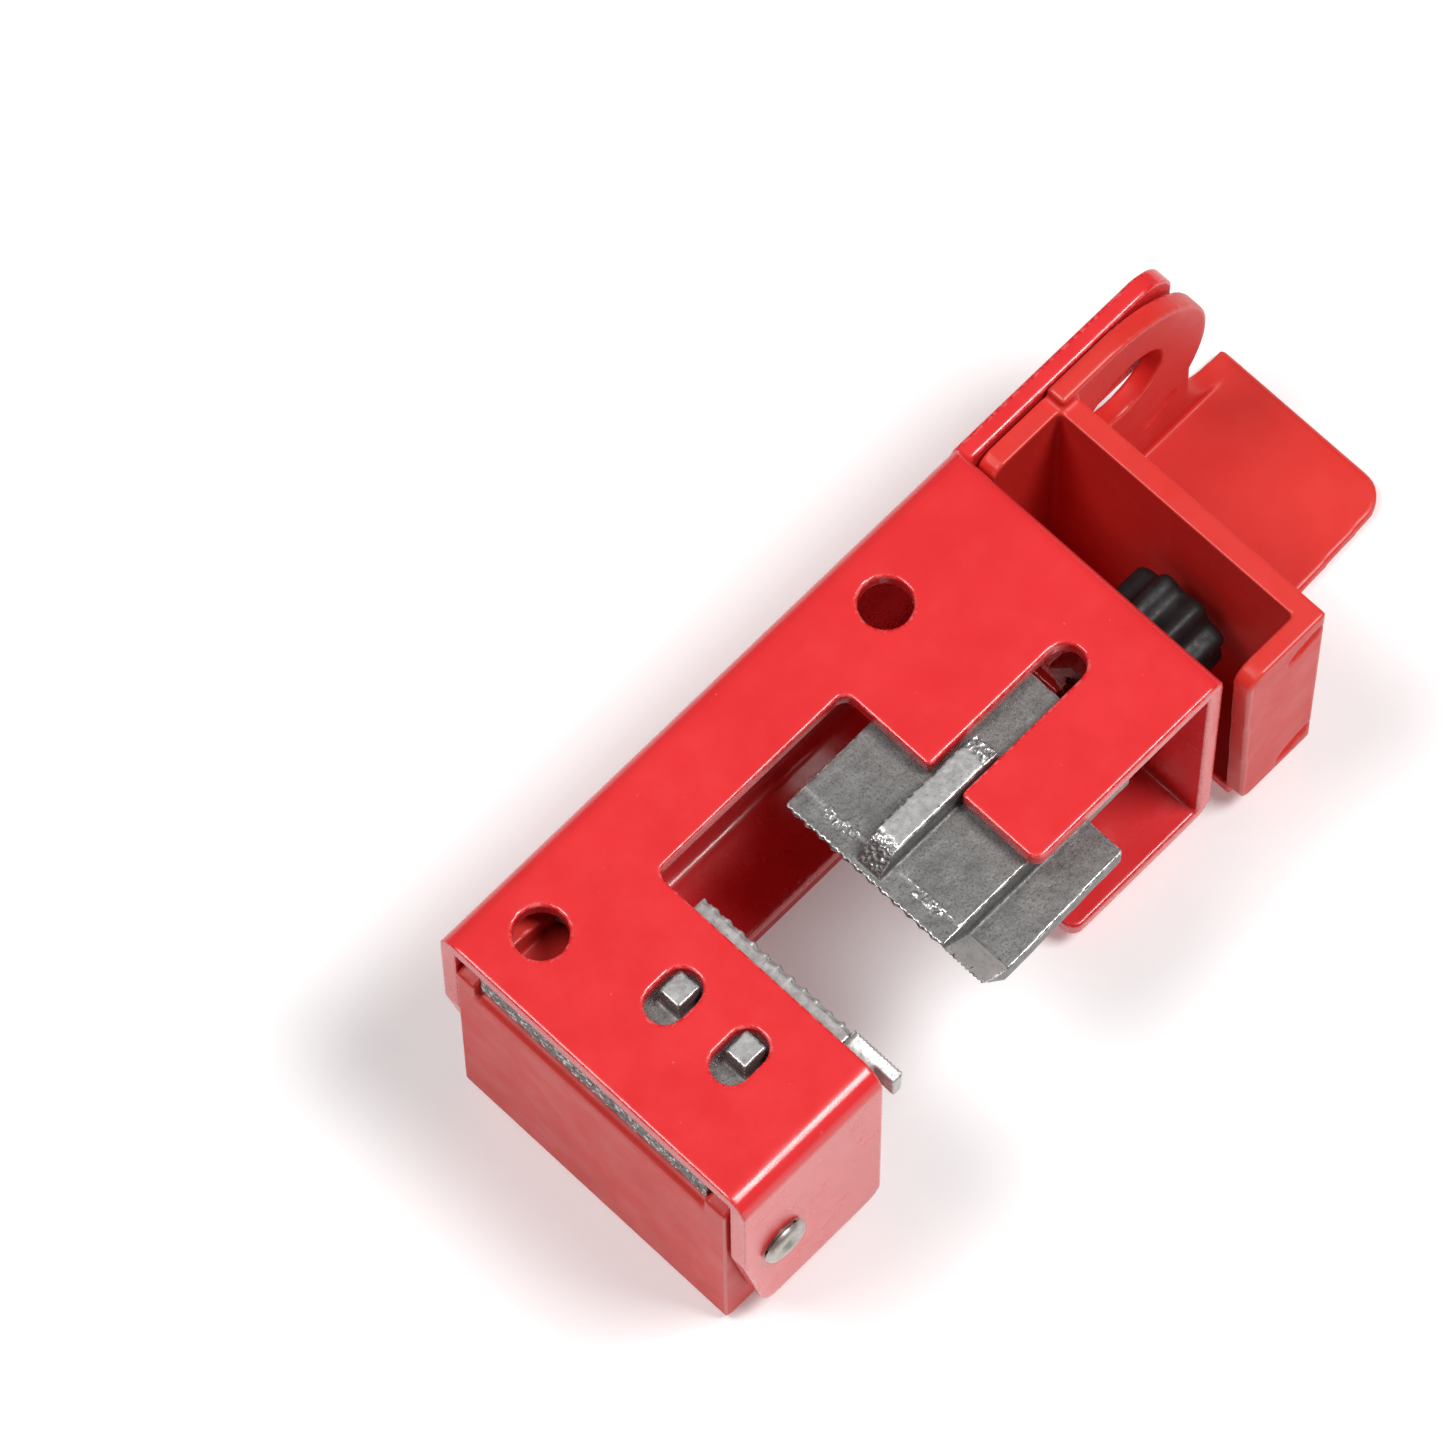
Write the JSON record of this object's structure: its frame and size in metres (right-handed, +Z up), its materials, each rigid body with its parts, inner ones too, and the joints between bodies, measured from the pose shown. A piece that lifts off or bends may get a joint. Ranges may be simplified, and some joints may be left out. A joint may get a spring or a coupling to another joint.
{
  "type": "circuit breaker lockout",
  "caption": "Clamp-on circuit breaker lockout: bent steel frame, two cast jaws that grip a toggle, a thumb screw, and a cam handle that a padlock holds shut.",
  "frame": {"origin": "centre of the bounding box's bottom face", "axes": "+X from the pivot end towards the finger tab, +Y towards the frame's back wall, +Z up through the top plate"},
  "size_m": [0.1152, 0.0454, 0.038],
  "materials": {
    "red_powder_coat": "gloss",
    "orange_red_plastic": "satin",
    "zinc_casting": "as cast",
    "zinc_plated_steel": "plated",
    "black_plastic": "satin"
  },
  "bodies": {
    "frame": {"frame": "red_powder_coat", "pivot_rivet": "zinc_plated_steel"},
    "handle": {"handle": "orange_red_plastic"},
    "cam_jaw": {"cam_jaw": "zinc_casting"},
    "screw": {"clamp_screw": "zinc_plated_steel", "lock_nut": "zinc_plated_steel", "inner_washer": "zinc_plated_steel", "outer_washer": "zinc_plated_steel", "thumb_knob": "black_plastic"},
    "screw_jaw": {"screw_jaw": "zinc_casting"}
  },
  "joints": [
    {"name": "handle_hinge", "type": "hinge", "parent": "frame", "child": "handle", "pos_m": [-0.052, -0.00017, 0.0194], "axis": [0, 1, 0], "range_deg": [0, 90]},
    {"name": "cam_jaw_slide", "type": "slide", "parent": "frame", "child": "cam_jaw", "axis": [1, 0, 0], "range_m": [-0.00101, 0]},
    {"name": "screw_turn", "type": "hinge", "parent": "frame", "child": "screw", "pos_m": [0.0027, -0.00387, 0.0201], "axis": [1, 0, 0], "range_deg": [-3313, 1801]},
    {"name": "screw_jaw_slide", "type": "slide", "parent": "frame", "child": "screw_jaw", "axis": [1, 0, 0], "range_m": [-0.005, 0.0092]}
  ],
  "couplings": [
    {"joint": "cam_jaw_slide", "follows": "handle_hinge", "m_per_rad": -0.00063662},
    {"joint": "screw_turn", "follows": "screw_jaw_slide", "rad_per_m": -6283.2}
  ]
}
